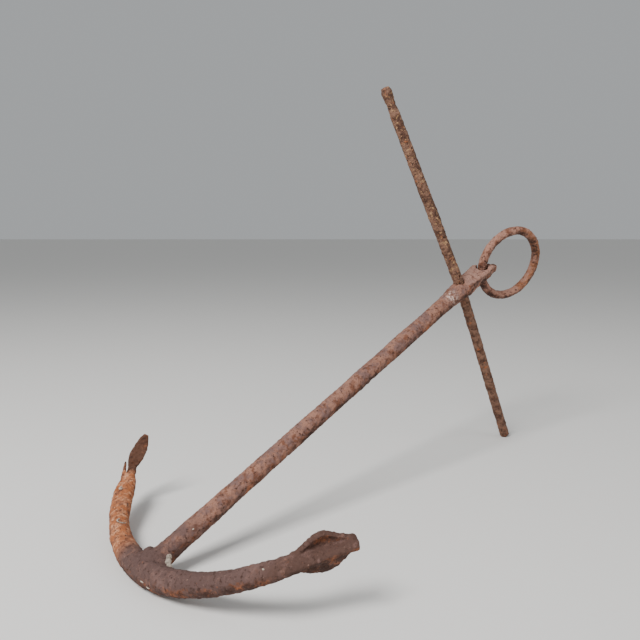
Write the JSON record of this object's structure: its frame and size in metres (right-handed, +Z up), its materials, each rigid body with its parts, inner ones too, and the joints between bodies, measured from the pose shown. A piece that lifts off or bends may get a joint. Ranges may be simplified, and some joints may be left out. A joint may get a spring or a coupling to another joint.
{
  "type": "barnacled anchor",
  "caption": "Small old stocked anchor, rusted through, with a long round shank, curved arms, a spade palm, a torn palm, a bent rod stock and a hitch ring.",
  "frame": {"origin": "on the ground under the middle of the anchor's box, in the pose it rests in", "axes": "+Z up; -Y towards the viewer; the shank climbs from the crown at -X towards the eye at +X and +Y"},
  "size_m": [0.5026, 0.4542, 0.4443],
  "materials": {
    "forging": "deeply pitted red-brown rust over wrought iron, orange where it flakes",
    "stock": "dark brown rust flecked with ochre",
    "ring": "pale salmon to orange-brown rust"
  },
  "bodies": {
    "root": {"forging": "forging", "stock": "stock", "ring": "ring"}
  },
  "joints": []
}
